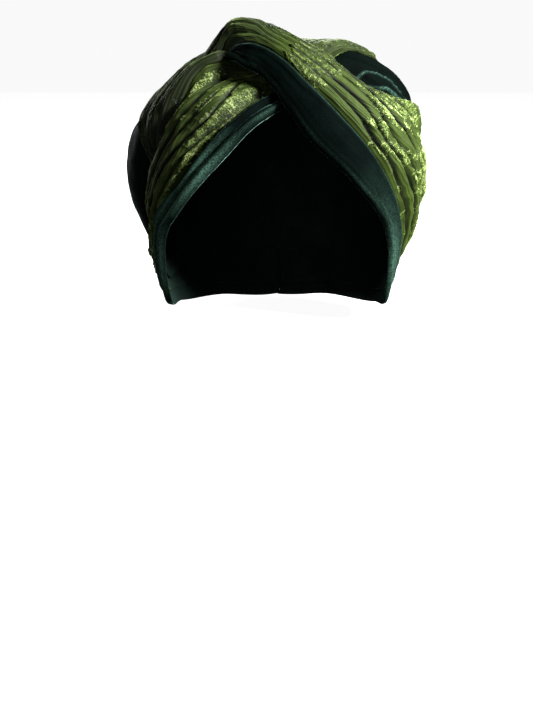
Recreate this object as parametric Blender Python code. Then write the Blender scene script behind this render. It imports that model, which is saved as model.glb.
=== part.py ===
"""A turban headwrap: a gathered velvet cap under two pleated bands that cross in a twist at the front.

Each band is a strip of pleated cloth with a velvet border along its lower edge. It starts at the
seam at the centre back, runs round one side of the head and up to the twist, and crosses to the
other side as a narrower tail. Left and right are as seen from in front. Lengths are in metres and
angles in degrees. The wearer's face looks along -Y, and the origin is the point inside the crown
where the top of the head sits.
"""

import math
from typing import NamedTuple

import bmesh
import bpy
import numpy as np
from mathutils import Vector
from mathutils.bvhtree import BVHTree

# The head that the wrap is made for
HEAD_WIDTH = 0.154
HEAD_LENGTH = 0.192
HEAD_CROWN = 0.098
HEAD_LOWER = 0.140

# Cloth walls and the clearances between them
PLEATED_WALL = 0.0016
BORDER_WALL = 0.0018
CAP_WALL = 0.0018
HEAD_EASE = 0.0006
LAYER_GAP = 0.0007
SEAM_GAP = 0.0004

# How high the cloth stands above the head, and its folds above that
CAP_FULLNESS = 0.026
BAND_FULLNESS = 0.020
PLEAT_HEIGHT = 0.0055
BORDER_RIDGE = 0.0030
TUCK_HEIGHT = 0.0030
GATHER_HEIGHT = 0.0018

# How far the border laps over the pleated cloth, and how deep it lies there
SEAM_LAP = 0.0050
SEAM_DEPTH = 0.0030

# Mesh steps
BAND_STEPS = 46
PLEAT_STEPS = 18
BORDER_STEPS = 7
CAP_RIBS = 48
CAP_RINGS = 13
SHARP_EDGE = 60

# How finely, and from how far out, each piece looks for those below it
SEARCH_HALVINGS = 2
SEARCH_REACH = 3 * (CAP_FULLNESS + BAND_FULLNESS)

# How steeply the cloth rises from an edge, and how steeply a fold's sides fall
RISE_POWER = 2.2
FOLD_POWER = 1.5

HEAD_CENTRE = np.array([0.0, 0.0, -HEAD_CROWN])


class Rib(NamedTuple):
    """A meridian of the cap, from its hidden rim past the bands' edge to where it stands full.

    All places but the azimuth are elevations, and the lifts are shares of CAP_FULLNESS.
    """

    azimuth: float
    rim: float
    edge: float
    edge_lift: float
    full: float
    full_lift: float


CAP_TOP_LIFT = 0.34
CAP_SETTLING = 0.55
CAP_TABLE = [
    Rib(-180, -16, -6, 0.12, 20, 0.70),
    Rib(-150, -17, -8, 0.12, 20, 0.74),
    Rib(-118, -18, -9, 0.12, 29, 0.84),
    Rib(-92, -17, -10, 0.12, 28, 0.90),
    Rib(-82, -10, -3, 0.14, 29, 0.90),
    Rib(-74, -3, 6, 0.16, 30, 0.86),
    Rib(-66, 12, 20, 0.18, 34, 0.70),
    Rib(-56, 30, 40, 0.18, 54, 0.52),
    Rib(-40, 48, 60, 0.14, 72, 0.44),
    Rib(0, 52, 68, 0.14, 80, 0.42),
    Rib(30, 52, 66, 0.18, 76, 0.46),
    Rib(48, 46, 55, 0.40, 66, 0.64),
    Rib(65, 24, 45, 0.56, 57, 0.84),
    Rib(88, 0, 31, 0.62, 43, 1.02),
    Rib(106, -8, 19, 0.54, 34, 0.92),
    Rib(122, -13, 7, 0.42, 30, 0.82),
    Rib(140, -18, -1, 0.24, 26, 0.76),
    Rib(160, -18, -5, 0.14, 22, 0.72),
]
FULL_TURN = np.array(Rib(360, 0, 0, 0, 0, 0))


class Tuck(NamedTuple):
    """A tuck of the cap beside the right band's edge, in degrees. Height is a share of TUCK_HEIGHT."""

    above_edge: float
    width: float
    height: float
    first: float
    last: float


TUCKS = [
    Tuck(3.5, 3.0, 0.8, 44, 104),
    Tuck(9.0, 3.5, 0.9, 50, 112),
    Tuck(17.0, 5.5, 0.7, 58, 124),
]
TUCK_START = 12
TUCK_END = 24

# Soft gathers from front to back over the crown
GATHER_COUNT = 4
GATHER_FADE = 0.5


class Section(NamedTuple):
    """One cross-section of a band: the border's lower edge, the seam and the pleated upper edge.

    Places are azimuth and elevation on the head. The lifts are shares of BAND_FULLNESS, and fold
    is a share of PLEAT_HEIGHT and BORDER_RIDGE.
    """

    low_az: float
    low_el: float
    seam_az: float
    seam_el: float
    top_az: float
    top_el: float
    low_lift: float
    seam_lift: float
    middle_lift: float
    top_lift: float
    fold: float


RIGHT_BAND = [
    Section(180, -30, 180, -24, 180, -5, 0.00, 0.04, 0.18, 0.12, 0.5),
    Section(148, -29, 148, -23, 158, -4, 0.00, 0.04, 0.20, 0.18, 0.5),
    Section(105, -27, 107, -21, 138, 0, 0.00, 0.04, 0.22, 0.24, 0.6),
    Section(80, -23, 87, -17, 122, 6, 0.00, 0.06, 0.20, 0.34, 0.55),
    Section(66, -6, 75, -7, 106, 18, 0.00, 0.22, 0.58, 0.70, 0.9),
    Section(51, 7, 61, 8, 90, 34, 0.00, 0.36, 0.86, 0.94, 1.0),
    Section(36, 19, 45, 26, 71, 42, 0.02, 0.50, 0.84, 0.90, 1.0),
    Section(18, 33, 31, 38, 55, 49, 0.04, 0.68, 0.86, 0.88, 0.8),
    Section(5, 45, 16, 50, 44, 60, 0.30, 0.90, 0.98, 0.90, 0.45),
    Section(-2, 51, 4, 58, 24, 71, 0.50, 1.08, 1.14, 1.12, 0.3),
    Section(-12, 56, -12, 64, 6, 82, 0.70, 1.16, 1.18, 1.10, 0.3),
    Section(-25, 59, -26, 66, -150, 84, 0.80, 1.14, 1.28, 0.90, 0.35),
    Section(-41, 63, -44, 66, -132, 76, 0.74, 0.92, 1.30, 0.80, 0.6),
    Section(-50, 61, -50, 61, -118, 67, 0.46, 0.46, 0.98, 0.66, 0.7),
    Section(-57, 55, -57, 55, -107, 56, 0.32, 0.32, 0.70, 0.50, 0.6),
    Section(-59, 46, -59, 46, -96, 45, 0.28, 0.28, 0.50, 0.40, 0.4),
    Section(-61, 37, -61, 37, -83, 35, 0.26, 0.26, 0.46, 0.38, 0.35),
    Section(-62, 28, -62, 28, -71, 28, 0.26, 0.26, 0.44, 0.40, 0.35),
    Section(-63, 20, -63, 20, -65, 20, 0.30, 0.30, 0.34, 0.36, 0.2),
]
LEFT_BAND = [
    Section(-180, -30, -180, -24, -180, -5, 0.00, 0.04, 0.18, 0.12, 0.5),
    Section(-145, -29, -145, -23, -150, -7, 0.00, 0.04, 0.20, 0.12, 0.5),
    Section(-108, -27, -110, -21, -118, -8, 0.00, 0.04, 0.20, 0.12, 0.5),
    Section(-82, -23, -86, -17, -92, -8, 0.00, 0.04, 0.20, 0.12, 0.6),
    Section(-69, -6, -74, -4, -80, -2, 0.00, 0.12, 0.22, 0.12, 0.5),
    Section(-54, 4, -58, 8, -73, 9, 0.00, 0.14, 0.44, 0.22, 0.9),
    Section(-42, 14, -46, 18, -67, 21, 0.00, 0.16, 0.56, 0.28, 1.0),
    Section(-27, 27, -33, 32, -66, 36, 0.00, 0.24, 0.60, 0.32, 1.0),
    Section(-15, 38, -22, 41, -64, 48, 0.02, 0.26, 0.46, 0.30, 0.9),
    Section(-7, 43, -12, 49, -58, 60, 0.02, 0.18, 0.24, 0.18, 0.6),
    Section(4, 48, 0, 54, -30, 66, 0.02, 0.10, 0.14, 0.12, 0.3),
    Section(16, 54, 14, 60, 0, 74, 0.02, 0.14, 0.20, 0.16, 0.3),
    Section(40, 60, 42, 62, 50, 82, 0.10, 0.50, 0.62, 0.54, 0.4),
    Section(84, 54, 85, 55, 126, 71, 0.10, 0.62, 0.68, 0.52, 0.5),
    Section(112, 42, 112, 43, 146, 55, 0.10, 0.66, 0.80, 0.64, 0.8),
    Section(130, 24, 130, 25, 156, 33, 0.10, 0.60, 0.80, 0.66, 0.8),
    Section(140, 6, 140, 7, 164, 12, 0.10, 0.40, 0.60, 0.46, 0.6),
    Section(146, -10, 146, -9, 168, -8, 0.10, 0.06, 0.10, 0.08, 0.2),
]

# The row of each table where the border ends, tucked into the twist
RIGHT_BORDER_END = 12.4
LEFT_BORDER_END = 11


class Fold(NamedTuple):
    """A fold that runs along a band, placed at five stations of its length.

    Places and width are shares of the width across the cloth. Height is a share of PLEAT_HEIGHT or
    BORDER_RIDGE.
    """

    back: float
    side: float
    front: float
    twist: float
    tail: float
    width: float
    height: float


FOLD_STATIONS = np.array([0.0, 0.3, 0.5, 0.68, 1.0])
RIGHT_FOLDS = [
    Fold(0.12, 0.14, 0.24, 0.20, 0.15, 0.11, 0.8),
    Fold(0.30, 0.32, 0.46, 0.44, 0.36, 0.10, 1.0),
    Fold(0.47, 0.50, 0.62, 0.62, 0.55, 0.10, 0.9),
    Fold(0.64, 0.67, 0.78, 0.76, 0.72, 0.09, 1.0),
    Fold(0.84, 0.86, 0.92, 0.90, 0.88, 0.09, 0.8),
]
LEFT_FOLDS = [
    Fold(0.14, 0.16, 0.20, 0.24, 0.20, 0.15, 0.7),
    Fold(0.40, 0.44, 0.50, 0.50, 0.45, 0.12, 0.7),
    Fold(0.68, 0.72, 0.80, 0.76, 0.70, 0.16, 1.0),
    Fold(0.90, 0.92, 0.96, 0.94, 0.90, 0.10, 0.5),
]
RIGHT_BORDER_FOLDS = [Fold(0.30, 0.30, 0.28, 0.25, 0.25, 0.22, 0.4)]
LEFT_BORDER_FOLDS = [
    Fold(0.25, 0.25, 0.26, 0.26, 0.26, 0.24, 0.8),
    Fold(0.76, 0.76, 0.76, 0.76, 0.76, 0.22, 0.8),
]

# Where the pleated cloth's height turns, as shares of its width
FOLDS_BEGIN = 0.10
SEAM_RISE_END = 0.20
MIDDLE = 0.50
LARGEST_LAP = 0.80


class Cloth(NamedTuple):
    """A cloth's colour, roughness and wall."""

    colour: tuple
    roughness: float
    wall: float


CAP_CLOTH = Cloth((0.006, 0.022, 0.016), 0.60, CAP_WALL)
PLEATED_CLOTH = Cloth((0.13, 0.20, 0.03), 0.50, PLEATED_WALL)
BORDER_CLOTH = Cloth((0.008, 0.035, 0.027), 0.55, BORDER_WALL)


def directions(azimuth, elevation):
    """Unit vectors in the space where the head is a sphere."""
    az = np.radians(azimuth)
    el = np.radians(elevation)
    return np.stack([np.cos(el) * np.sin(az), -np.cos(el) * np.cos(az), np.sin(el)], -1)


def unit(vectors):
    return vectors / np.linalg.norm(vectors, axis=-1, keepdims=True)


def head_sizes(q):
    """The head's half axes each way; below its centre it reaches further than above."""
    half = np.empty_like(q)
    half[..., 0] = HEAD_WIDTH / 2
    half[..., 1] = HEAD_LENGTH / 2
    half[..., 2] = np.where(q[..., 2] > 0, HEAD_CROWN, HEAD_LOWER)
    return half


def head_normals(q):
    return unit(q / head_sizes(q))


def lifted(q, lift):
    """Points at a height above the head."""
    return HEAD_CENTRE + q * head_sizes(q) + head_normals(q) * lift[..., None]


def spline(keys, rows, at):
    """A smooth curve through the rows of a table, read at the given keys."""
    slopes = np.gradient(rows, keys, axis=0)
    i = np.clip(np.searchsorted(keys, at, side="right") - 1, 0, len(keys) - 2)
    span = (keys[i + 1] - keys[i])[:, None]
    x = (at - keys[i])[:, None] / span
    return (
        (2 * x**3 - 3 * x**2 + 1) * rows[i]
        + (x**3 - 2 * x**2 + x) * span * slopes[i]
        + (3 * x**2 - 2 * x**3) * rows[i + 1]
        + (x**3 - x**2) * span * slopes[i + 1]
    )


def smoothstep(x):
    x = np.clip(x, 0, 1)
    return x * x * (3 - 2 * x)


def bulge(x):
    """A rise from 0 to 1 that starts steeply and rounds off."""
    return 1 - (1 - np.clip(x, 0, 1)) ** RISE_POWER


def ridge(distance, width):
    """A rounded fold of unit height."""
    return np.clip(1 - (distance / width) ** 2, 0, 1) ** FOLD_POWER


def widest(grid):
    """Each value of a grid raised to the highest of its neighbours."""
    padded = np.pad(grid, 1, mode="edge")
    rows, columns = grid.shape
    near = [padded[i : i + rows, j : j + columns] for i in range(3) for j in range(3)]
    return np.max(near, axis=0)


def halved(grid):
    """A grid with a point added half way between each two neighbours."""
    rows = np.repeat(grid, 2, axis=0)[:-1]
    rows[1::2] = (grid[:-1] + grid[1:]) / 2
    both = np.repeat(rows, 2, axis=1)[:, :-1]
    both[:, 1::2] = (rows[:, :-1] + rows[:, 1:]) / 2
    return both


def rested(q, lift, below):
    """The lift raised wherever the cloth would sink into the pieces below it.

    Rays from well above the cloth find those pieces more finely than the cloth's own grid, and each
    point clears the highest place within one step of that grid.
    """
    fine = q
    for _ in range(SEARCH_HALVINGS):
        fine = halved(fine)
    fine = unit(fine)
    step = 2**SEARCH_HALVINGS
    start = lifted(fine, np.full(fine.shape[:-1], SEARCH_REACH))
    inward = -head_normals(fine)
    under = np.zeros(fine.shape[:-1])
    for index in np.ndindex(under.shape):
        for tree in below:
            hit = tree.ray_cast(Vector(start[index]), Vector(inward[index]), SEARCH_REACH)
            if hit[3] is not None:
                under[index] = max(under[index], SEARCH_REACH - hit[3])
    floor = np.where(under > 0, under + LAYER_GAP, HEAD_EASE)
    for _ in range(step):
        floor = widest(floor)
    return np.maximum(lift, floor[::step, ::step])


def material(name, cloth):
    slot = bpy.data.materials.new(name)
    slot.use_nodes = True
    shader = slot.node_tree.nodes["Principled BSDF"]
    shader.inputs["Base Color"].default_value = (*cloth.colour, 1.0)
    shader.inputs["Roughness"].default_value = cloth.roughness
    shader.inputs["Metallic"].default_value = 0.0
    return slot


def outline(rows, columns):
    """The places round the edge of a grid, in order."""
    places = [(0, j) for j in range(columns)]
    places += [(i, columns - 1) for i in range(1, rows)]
    places += [(rows - 1, j) for j in range(columns - 2, -1, -1)]
    places += [(i, 0) for i in range(rows - 2, 0, -1)]
    return places


def shell(name, cloth, q, lift, ring=False):
    """A closed wall of cloth over a grid of directions. A ring closes on itself and at a crown."""
    rows, columns = lift.shape
    bm = bmesh.new()
    faces_out = []
    for points in (lifted(q, lift + cloth.wall), lifted(q, lift)):
        grid = [[bm.verts.new(p) for p in row] for row in points]
        faces_out.append(grid)
        for i in range(rows - 1):
            for j in range(columns if ring else columns - 1):
                k = (j + 1) % columns
                bm.faces.new((grid[i][j], grid[i][k], grid[i + 1][k], grid[i + 1][j]))
        if ring:
            crown = bm.verts.new(points[-1].mean(axis=0))
            for j in range(columns):
                bm.faces.new((grid[-1][j], grid[-1][(j + 1) % columns], crown))
    outer, inner = faces_out
    edge = [(0, j) for j in range(columns)] if ring else outline(rows, columns)
    for (i, j), (m, n) in zip(edge, edge[1:] + edge[:1]):
        bm.faces.new((outer[i][j], outer[m][n], inner[m][n], inner[i][j]))
    bmesh.ops.recalc_face_normals(bm, faces=bm.faces)
    mesh = bpy.data.meshes.new(name)
    bm.to_mesh(mesh)
    bm.free()
    mesh.shade_smooth()
    mesh.set_sharp_from_angle(angle=math.radians(SHARP_EDGE))
    mesh.materials.append(material(name, cloth))
    obj = bpy.data.objects.new(name, mesh)
    bpy.context.scene.collection.objects.link(obj)
    return BVHTree.FromPolygons(
        [v.co for v in mesh.vertices], [p.vertices[:] for p in mesh.polygons]
    )


def cap_lift(rib, elevation):
    """The cap's height above the head at one elevation of each rib."""
    inside = smoothstep((elevation - rib.rim) / (rib.edge - rib.rim))
    outside = bulge((elevation - rib.edge) / (rib.full - rib.edge))
    settled = smoothstep((elevation - rib.full) / (90 - rib.full)) ** CAP_SETTLING
    share = rib.edge_lift * inside + (rib.full_lift - rib.edge_lift) * outside
    lift = CAP_FULLNESS * (share + (CAP_TOP_LIFT - rib.full_lift) * settled)
    for tuck in TUCKS:
        starts = smoothstep((rib.azimuth - tuck.first) / TUCK_START)
        ends = smoothstep((tuck.last - rib.azimuth) / TUCK_END)
        rise = ridge(elevation - rib.edge - tuck.above_edge, tuck.width)
        lift += TUCK_HEIGHT * tuck.height * starts * ends * rise
    sideways = np.cos(np.radians(elevation)) * np.sin(np.radians(rib.azimuth))
    gather = (1 + np.cos(GATHER_COUNT * math.pi * sideways)) / 2
    return HEAD_EASE + lift + GATHER_HEIGHT * gather * outside * (1 - GATHER_FADE * settled)


def cap():
    """The gathered velvet cap, open below."""
    table = np.array(CAP_TABLE, float)
    table = np.vstack([table[-1] - FULL_TURN, table, table[0] + FULL_TURN])
    azimuth = -180 + 360 * np.arange(CAP_RIBS) / CAP_RIBS
    rib = Rib(*spline(table[:, 0], table, azimuth).T)
    rings = np.arange(CAP_RINGS)[:, None] / CAP_RINGS
    elevation = rib.rim + (90 - rib.rim) * rings
    q = directions(np.broadcast_to(azimuth, elevation.shape), elevation)
    return shell("crown_cap", CAP_CLOTH, q, cap_lift(rib, elevation), ring=True)


class Band:
    """A band's edges and lifts, worked out along its length from its sections."""

    def __init__(self, sections, last_border):
        rows = Section(*np.array(sections, float).T)
        low = directions(rows.low_az, rows.low_el)
        seam = directions(rows.seam_az, rows.seam_el)
        top = directions(rows.top_az, rows.top_el)
        middle = unit(seam + top)
        steps = np.linalg.norm(np.diff(middle * head_sizes(middle), axis=0), axis=1)
        self.keys = np.concatenate([[0], np.cumsum(steps)]) / steps.sum()
        self.rows = np.hstack([low, seam, top, np.array(rows[6:]).T])
        self.last_border = last_border

    def at(self, along):
        """The three edges' directions and the five lifts at shares of the band's length."""
        values = spline(self.keys, self.rows, along)
        edges = [unit(values[:, i : i + 3]) for i in (0, 3, 6)]
        return *edges, *values[:, 9:].T[..., None]

    def steps(self, last):
        """Places along the band up to a row of its table, close together where its rows are."""
        return np.interp(np.linspace(0, last, BAND_STEPS), np.arange(len(self.keys)), self.keys)


def fold_height(folds, along, across):
    """How far the highest fold stands up at each place on a cloth."""
    height = np.zeros(across.shape)
    for fold in folds:
        place = spline(FOLD_STATIONS, np.array(fold[:5])[:, None], along)
        height = np.maximum(height, fold.height * ridge(across - place, fold.width))
    return height


def between(a, b, across):
    """Directions from one edge to the other, held clear of the seam at the centre back."""
    q = a[:, None, :] + (b - a)[:, None, :] * across[:, None]
    q[0, :, 0] = np.sign(q[1, 0, 0]) * SEAM_GAP / HEAD_WIDTH
    return unit(q)


def length_of(edge_a, edge_b):
    """How far apart two edges are on the head."""
    return np.linalg.norm((edge_b - edge_a) * head_sizes(edge_b), axis=1, keepdims=True)


def pleated_strip(name, band, folds, below):
    """The band's pleated cloth, from under the border to its upper edge."""
    along = band.steps(len(band.keys) - 1)
    low, seam, top, _, seam_lift, middle_lift, top_lift, fold = band.at(along)
    border_width = length_of(low, seam)
    lap = np.minimum(SEAM_LAP, LARGEST_LAP * border_width)
    start = unit(seam + (low - seam) * lap / np.maximum(border_width, SEAM_LAP))
    across = np.linspace(0, 1, PLEAT_STEPS)
    covered = lap / length_of(start, top)
    t = np.clip((across - covered) / (1 - covered), 0, 1)
    tucked = np.maximum(seam_lift - SEAM_DEPTH / BAND_FULLNESS, 0)
    rise = tucked + (seam_lift - tucked) * smoothstep(t / SEAM_RISE_END)
    rise += (middle_lift - seam_lift) * smoothstep(t / MIDDLE)
    rise += (top_lift - middle_lift) * smoothstep((t - MIDDLE) / (1 - MIDDLE))
    pleats = fold_height(folds, along, t) * fold * smoothstep(t / FOLDS_BEGIN)
    q = between(start, top, across)
    lift = rested(q, HEAD_EASE + BAND_FULLNESS * rise + PLEAT_HEIGHT * pleats, below)
    return shell(name, PLEATED_CLOTH, q, lift)


def border(name, band, folds, below):
    """The velvet border that covers the pleated cloth's lower edge."""
    along = band.steps(band.last_border)
    low, seam, _, low_lift, seam_lift, _, _, fold = band.at(along)
    across = np.linspace(0, 1, BORDER_STEPS)
    t = np.broadcast_to(across, (BAND_STEPS, BORDER_STEPS))
    rise = low_lift + (seam_lift - low_lift) * np.sin(t * math.pi / 2)
    ridges = fold_height(folds, along, t)
    q = between(low, seam, across)
    lift = rested(q, HEAD_EASE + BAND_FULLNESS * rise + BORDER_RIDGE * ridges, below)
    return shell(name, BORDER_CLOTH, q, lift)


def build():
    for obj in list(bpy.data.objects):
        bpy.data.objects.remove(obj)
    left = Band(LEFT_BAND, LEFT_BORDER_END)
    right = Band(RIGHT_BAND, RIGHT_BORDER_END)
    below = [cap()]
    below.append(pleated_strip("left_band_pleats", left, LEFT_FOLDS, below))
    below.append(border("left_band_border", left, LEFT_BORDER_FOLDS, below))
    below.append(pleated_strip("right_band_pleats", right, RIGHT_FOLDS, below))
    border("right_band_border", right, RIGHT_BORDER_FOLDS, below)


build()
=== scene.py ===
"""Dresses the turban headwrap: crushed two-tone velvet, plain velvet borders and a gathered cap.

Each cloth follows the sections of its solid on a finer grid. The outer sides have pleats with sharp
grooves, creases and raised pile, ridges on the borders, and tucks and gathers on the cap. The inner
sides are a plain lining. Lengths are in metres and angles in degrees.
"""

import math
from typing import NamedTuple

import bpy
import numpy as np
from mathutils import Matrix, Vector
from mathutils.bvhtree import BVHTree


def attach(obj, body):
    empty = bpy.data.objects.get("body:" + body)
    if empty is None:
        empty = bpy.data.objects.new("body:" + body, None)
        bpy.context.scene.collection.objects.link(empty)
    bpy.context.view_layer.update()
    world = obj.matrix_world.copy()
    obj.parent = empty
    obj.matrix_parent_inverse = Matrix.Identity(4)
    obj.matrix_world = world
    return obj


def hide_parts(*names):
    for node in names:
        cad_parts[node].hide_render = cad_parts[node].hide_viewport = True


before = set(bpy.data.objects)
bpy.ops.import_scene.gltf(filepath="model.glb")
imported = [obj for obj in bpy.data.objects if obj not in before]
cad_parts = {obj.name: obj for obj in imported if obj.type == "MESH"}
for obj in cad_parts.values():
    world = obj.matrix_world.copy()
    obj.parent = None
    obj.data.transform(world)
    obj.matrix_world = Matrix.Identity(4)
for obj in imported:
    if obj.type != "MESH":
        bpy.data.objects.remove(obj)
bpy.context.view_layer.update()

# The head, and the cloths' thickness and fullness, as in the solids
HEAD_WIDTH = 0.154
HEAD_LENGTH = 0.192
HEAD_CROWN = 0.098
HEAD_LOWER = 0.140
HEAD_CENTRE = np.array([0.0, 0.0, -HEAD_CROWN])
HEAD_EASE = 0.0006
PLEATED_WALL = 0.0016
BORDER_WALL = 0.0018
CAP_WALL = 0.0018
CAP_FULLNESS = 0.026
BAND_FULLNESS = 0.020
SEAM_LAP = 0.0050
SEAM_DEPTH = 0.0030
LARGEST_LAP = 0.80
SEAM_RISE_END = 0.20
RISE_POWER = 2.2

# The gaps, the left ones' lap at the centre back, and where the pleats begin. The solids have
# wider gaps and no lap there, and their pleats begin further from the border
LAYER_GAP = 0.0004
SEAM_GAP = 0.0003
SEAM_OVERLAP = 0.0030
FOLDS_BEGIN = 0.07

# How far each kind of relief stands up, and the cloth's thickness where it is thinnest
PLEAT_HEIGHT = 0.0058
BORDER_RIDGE = 0.0026
TUCK_HEIGHT = 0.0022
GATHER_HEIGHT = 0.0018
CAP_RIPPLE = 0.0007
BORDER_RIPPLE = 0.0003
CRINKLE = 0.0009
PILE = 0.0009
THINNEST = 0.0005

# Mesh steps of the outer sides; the linings have half as many each way
BAND_STEPS = 641
PLEAT_STEPS = 121
BORDER_STEPS = 41
CAP_RIBS = 480
CAP_RINGS = 160

# What lies below a cloth is looked for at every so many of its steps, from this far out
REST_STEP = 4
SEARCH_REACH = 3 * (CAP_FULLNESS + BAND_FULLNESS)


class Rib(NamedTuple):
    """A meridian of the cap: elevations, and lifts as shares of CAP_FULLNESS."""

    azimuth: float
    rim: float
    edge: float
    edge_lift: float
    full: float
    full_lift: float


CAP_TOP_LIFT = 0.34
CAP_SETTLING = 0.55
CAP_TABLE = [
    Rib(-180, -16, -6, 0.12, 20, 0.70),
    Rib(-150, -17, -8, 0.12, 20, 0.74),
    Rib(-118, -18, -9, 0.12, 29, 0.84),
    Rib(-92, -17, -10, 0.12, 28, 0.90),
    Rib(-82, -10, -3, 0.14, 29, 0.90),
    Rib(-74, -3, 6, 0.16, 30, 0.86),
    Rib(-66, 12, 20, 0.18, 34, 0.70),
    Rib(-56, 30, 40, 0.18, 54, 0.52),
    Rib(-40, 48, 60, 0.14, 72, 0.44),
    Rib(0, 52, 68, 0.14, 80, 0.42),
    Rib(30, 52, 66, 0.18, 76, 0.46),
    Rib(48, 46, 55, 0.40, 66, 0.64),
    Rib(65, 24, 45, 0.56, 57, 0.84),
    Rib(88, 0, 31, 0.62, 43, 1.02),
    Rib(106, -8, 19, 0.54, 34, 0.92),
    Rib(122, -13, 7, 0.42, 30, 0.82),
    Rib(140, -18, -1, 0.24, 26, 0.76),
    Rib(160, -18, -5, 0.14, 22, 0.72),
]
FULL_TURN = np.array(Rib(360, 0, 0, 0, 0, 0))


class Tuck(NamedTuple):
    """A tuck of the cap by the right band's edge, in degrees, and its share of TUCK_HEIGHT."""

    above_edge: float
    fall: float
    height: float
    first: float
    last: float


TUCKS = [
    Tuck(2.5, 5.0, 0.8, 52, 104),
    Tuck(8.0, 7.0, 1.0, 46, 112),
    Tuck(12.0, 6.0, 0.5, 60, 118),
    Tuck(21.0, 14.0, 0.7, 58, 140),
]
TUCK_RISE = 1.2
TUCK_START = 12
TUCK_END = 24
TUCK_SWAY = 1.2
TUCK_SWAY_FINENESS = 6
CAP_RIM_ROLL = 1.5

# The cap's gathers and ripples
GATHER_COUNT = 4
GATHER_FADE = 0.5
GATHER_SWAY = 0.10
GATHER_SWAY_FINENESS = 2.2
RIPPLE_FINENESS = 7

# The turned edges seen on the cap at the right, as azimuth and elevation: each rises a little and
# has a line of painted sheen along it
CAP_EDGES = [
    [(50, 52), (59.5, 52.6), (66, 50.5), (72, 47.5), (80, 41), (90, 34)],
    [(55, 50.5), (62, 48), (70, 45), (80, 39.5)],
]
CAP_EDGE_WIDTH = 0.19
CAP_EDGE_SHARE = 0.42
CAP_EDGE_RISE = 0.0010
CAP_EDGE_UNEVENNESS = 0.5
CAP_EDGE_FINENESS = 14


class Section(NamedTuple):
    """A band's cross-section. Its lifts are shares of BAND_FULLNESS, its fold of PLEAT_HEIGHT."""

    low_az: float
    low_el: float
    seam_az: float
    seam_el: float
    top_az: float
    top_el: float
    low_lift: float
    seam_lift: float
    middle_lift: float
    top_lift: float
    fold: float


# As in the solids, but for the right band's end. Here it is fuller at the turn on top, and the
# lower edge of its upper left folds lies further forward
RIGHT_BAND = [
    Section(180, -30, 180, -24, 180, -5, 0.00, 0.04, 0.18, 0.12, 0.5),
    Section(148, -29, 148, -23, 158, -4, 0.00, 0.04, 0.20, 0.18, 0.5),
    Section(105, -27, 107, -21, 138, 0, 0.00, 0.04, 0.22, 0.24, 0.6),
    Section(80, -23, 87, -17, 122, 6, 0.00, 0.06, 0.20, 0.34, 0.55),
    Section(66, -6, 75, -7, 106, 18, 0.00, 0.22, 0.58, 0.70, 0.9),
    Section(51, 7, 61, 8, 90, 34, 0.00, 0.36, 0.86, 0.94, 1.0),
    Section(36, 19, 45, 26, 71, 42, 0.02, 0.50, 0.84, 0.90, 1.0),
    Section(18, 33, 31, 38, 55, 49, 0.04, 0.68, 0.86, 0.88, 0.8),
    Section(5, 45, 16, 50, 44, 60, 0.30, 0.90, 0.98, 0.90, 0.45),
    Section(-2, 51, 4, 58, 24, 71, 0.50, 1.08, 1.14, 1.12, 0.3),
    Section(-12, 56, -12, 64, 6, 82, 0.70, 1.16, 1.18, 1.10, 0.3),
    Section(-25, 59, -26, 66, -150, 84, 0.80, 1.14, 1.38, 0.98, 0.35),
    Section(-41, 63, -44, 66, -132, 76, 0.74, 0.92, 1.44, 0.90, 0.6),
    Section(-46, 60, -46, 60, -118, 67, 0.46, 0.46, 1.08, 0.70, 0.7),
    Section(-52, 54, -52, 54, -107, 56, 0.32, 0.32, 0.70, 0.50, 0.6),
    Section(-54, 45, -54, 45, -96, 45, 0.28, 0.28, 0.50, 0.40, 0.4),
    Section(-57, 36, -57, 36, -83, 35, 0.26, 0.26, 0.46, 0.38, 0.35),
    Section(-60, 28, -60, 28, -71, 28, 0.26, 0.26, 0.44, 0.40, 0.35),
    Section(-63, 20, -63, 20, -65, 20, 0.30, 0.30, 0.34, 0.36, 0.2),
]
LEFT_BAND = [
    Section(-180, -30, -180, -24, -180, -5, 0.00, 0.04, 0.18, 0.12, 0.5),
    Section(-145, -29, -145, -23, -150, -7, 0.00, 0.04, 0.20, 0.12, 0.5),
    Section(-108, -27, -110, -21, -118, -8, 0.00, 0.04, 0.20, 0.12, 0.5),
    Section(-82, -23, -86, -17, -92, -8, 0.00, 0.04, 0.20, 0.12, 0.6),
    Section(-69, -6, -74, -4, -80, -2, 0.00, 0.12, 0.22, 0.12, 0.5),
    Section(-54, 4, -58, 8, -73, 9, 0.00, 0.14, 0.44, 0.22, 0.9),
    Section(-42, 14, -46, 18, -67, 21, 0.00, 0.16, 0.56, 0.28, 1.0),
    Section(-27, 27, -33, 32, -66, 36, 0.00, 0.24, 0.60, 0.32, 1.0),
    Section(-15, 38, -22, 41, -64, 48, 0.02, 0.26, 0.46, 0.30, 0.9),
    Section(-7, 43, -12, 49, -58, 60, 0.02, 0.18, 0.24, 0.18, 0.6),
    Section(4, 48, 0, 54, -30, 66, 0.02, 0.10, 0.14, 0.12, 0.3),
    Section(16, 54, 14, 60, 0, 74, 0.02, 0.14, 0.20, 0.16, 0.3),
    Section(40, 60, 42, 62, 50, 82, 0.10, 0.50, 0.62, 0.54, 0.4),
    Section(84, 54, 85, 55, 126, 71, 0.10, 0.62, 0.68, 0.52, 0.5),
    Section(112, 42, 112, 43, 146, 55, 0.10, 0.66, 0.80, 0.64, 0.8),
    Section(130, 24, 130, 25, 156, 33, 0.10, 0.60, 0.80, 0.66, 0.8),
    Section(140, 6, 140, 7, 164, 12, 0.10, 0.40, 0.60, 0.46, 0.6),
    Section(146, -10, 146, -9, 168, -8, 0.10, 0.06, 0.10, 0.08, 0.2),
]
RIGHT_BORDER_END = 12.4
LEFT_BORDER_END = 11
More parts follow.
